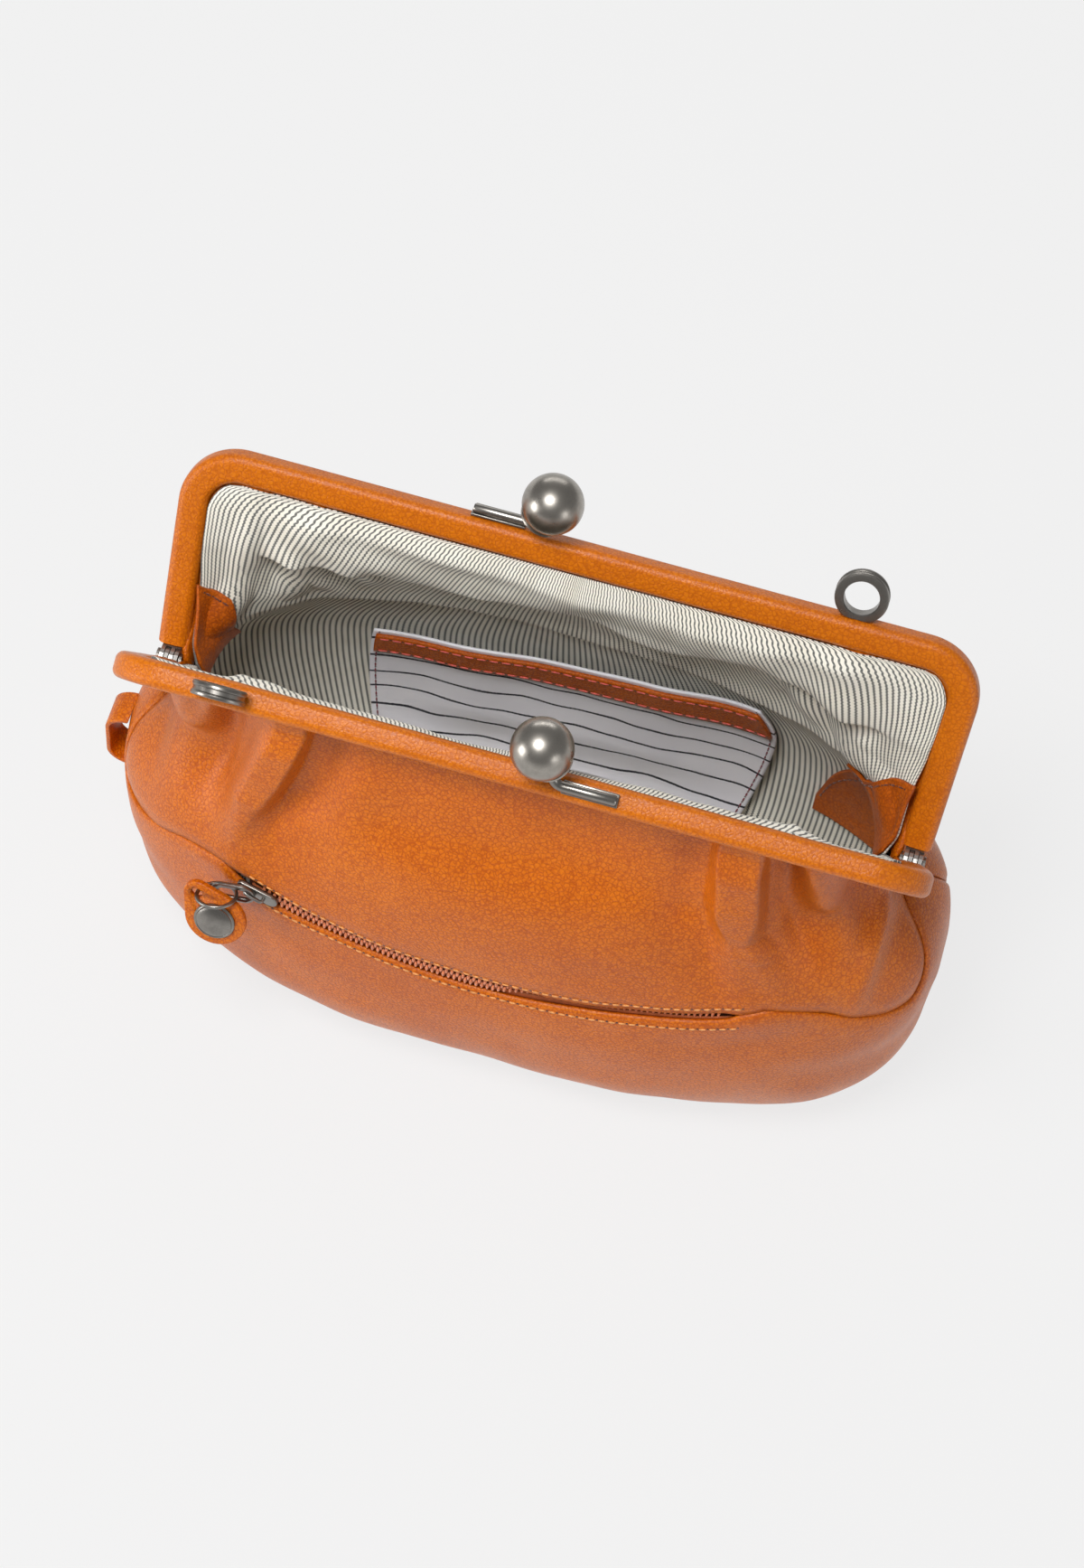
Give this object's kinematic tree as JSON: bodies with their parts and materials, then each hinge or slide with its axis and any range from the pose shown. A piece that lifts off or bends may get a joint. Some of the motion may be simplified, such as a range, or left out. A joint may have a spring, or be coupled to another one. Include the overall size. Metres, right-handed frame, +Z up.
{
  "type": "kiss-lock frame clutch bag",
  "caption": "Soft leather clutch bag standing open, with hinged leather-covered frame halves, a ball clasp, a striped lining and a curved zip pocket in its front seam.",
  "frame": {"origin": "on the floor, under the middle of the hinge line of the two frame halves", "axes": "+X along the frame to its right end, -Y towards the zip front, +Z up"},
  "size_m": [0.2931, 0.1385, 0.2119],
  "materials": {
    "leather": "waxed, smooth with fine grain",
    "nickel": "dark antique nickel, polished",
    "steel": "plain pressed steel",
    "lining": "woven ticking stripe",
    "pocket_cloth": "plain weave with thin stripes",
    "zip_teeth": "brown coil",
    "zip_tape": "woven tape",
    "pouch_cloth": "plain weave"
  },
  "bodies": {
    "bag": {"front_panel": "leather", "back_panel": "leather", "base_gusset": "leather", "lining_front": "lining", "lining_back": "lining", "inner_pocket": "pocket_cloth", "inner_pocket_band": "leather", "left_facing": "leather", "right_facing": "leather", "zip_pouch": "pouch_cloth", "zip_tape_upper": "zip_tape", "zip_tape_lower": "zip_tape", "zip_teeth_upper": "zip_teeth", "zip_teeth_lower": "zip_teeth", "side_loop": "leather", "hinge_pin_left": "nickel", "hinge_pin_right": "nickel"},
    "back_frame": {"back_frame_core": "steel", "back_frame_cover": "leather", "back_clasp_arm": "nickel", "back_clasp_ball": "nickel", "back_strap_ring": "nickel"},
    "front_frame": {"front_frame_core": "steel", "front_frame_cover": "leather", "front_clasp_arm": "nickel", "front_clasp_ball": "nickel", "front_strap_ring": "nickel"},
    "zip_slider": {"zip_slider": "nickel"},
    "pull_link": {"pull_link": "nickel"},
    "pull_ring": {"pull_ring": "nickel"},
    "pull_tab": {"pull_tab": "leather", "pull_rivet": "nickel"}
  },
  "joints": [
    {"name": "back_frame_hinge", "type": "hinge", "parent": "bag", "child": "back_frame", "pos_m": [0, 0, 0.12], "axis": [1, 0, 0], "range_deg": [-15, 31.1]},
    {"name": "front_frame_hinge", "type": "hinge", "parent": "bag", "child": "front_frame", "pos_m": [0, 0, 0.12], "axis": [1, 0, 0], "range_deg": [-31.1, 15]},
    {"name": "zip_slide", "type": "hinge", "parent": "bag", "child": "zip_slider", "pos_m": [0.00243, 0.0638, 0.30517], "axis": [0, -0.8704, 0.4924], "range_deg": [0, 34.9]},
    {"name": "pull_link_hinge", "type": "hinge", "parent": "zip_slider", "child": "pull_link", "pos_m": [-0.07838, -0.06094, 0.08911], "axis": [-0.1419, 0.0427, 0.989], "range_deg": [-3, 75]},
    {"name": "pull_ring_hinge", "type": "hinge", "parent": "pull_link", "child": "pull_ring", "pos_m": [-0.0916, -0.0613, 0.08723], "axis": [-0.1419, 0.0427, 0.989], "range_deg": [-20, 12]},
    {"name": "pull_tab_hinge", "type": "hinge", "parent": "pull_ring", "child": "pull_tab", "pos_m": [-0.09655, -0.0642, 0.08768], "axis": [0.0293, 0.9239, -0.3815], "range_deg": [-2, 40]}
  ],
  "couplings": [
    {"joint": "front_frame_hinge", "follows": "back_frame_hinge", "ratio": -1}
  ]
}
